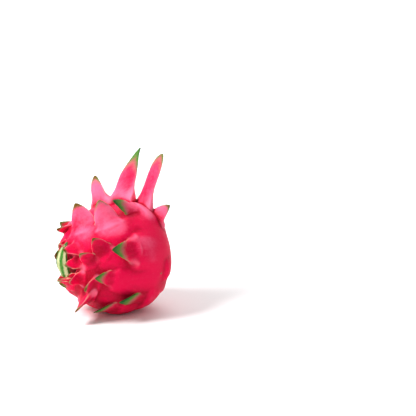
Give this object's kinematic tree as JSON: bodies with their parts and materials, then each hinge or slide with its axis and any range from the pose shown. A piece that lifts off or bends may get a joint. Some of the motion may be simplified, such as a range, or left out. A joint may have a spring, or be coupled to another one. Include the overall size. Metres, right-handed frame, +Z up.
{
  "type": "dragon fruit",
  "caption": "Whole dragon fruit lying on its side: a round body with tall, broad-based, green-tipped scales in a spiral and a withered crown at its blossom end.",
  "frame": {"origin": "on the floor, under the middle of the whole box", "axes": "+Z up as the fruit lies, X along the fruit's own axis with its crown towards -X and its stalk towards +X"},
  "size_m": [0.1144, 0.1066, 0.1323],
  "materials": {
    "skin": "waxy, faintly mottled pink fruit skin with green scale tips"
  },
  "bodies": {
    "root": {"fruit": "skin"}
  },
  "joints": []
}
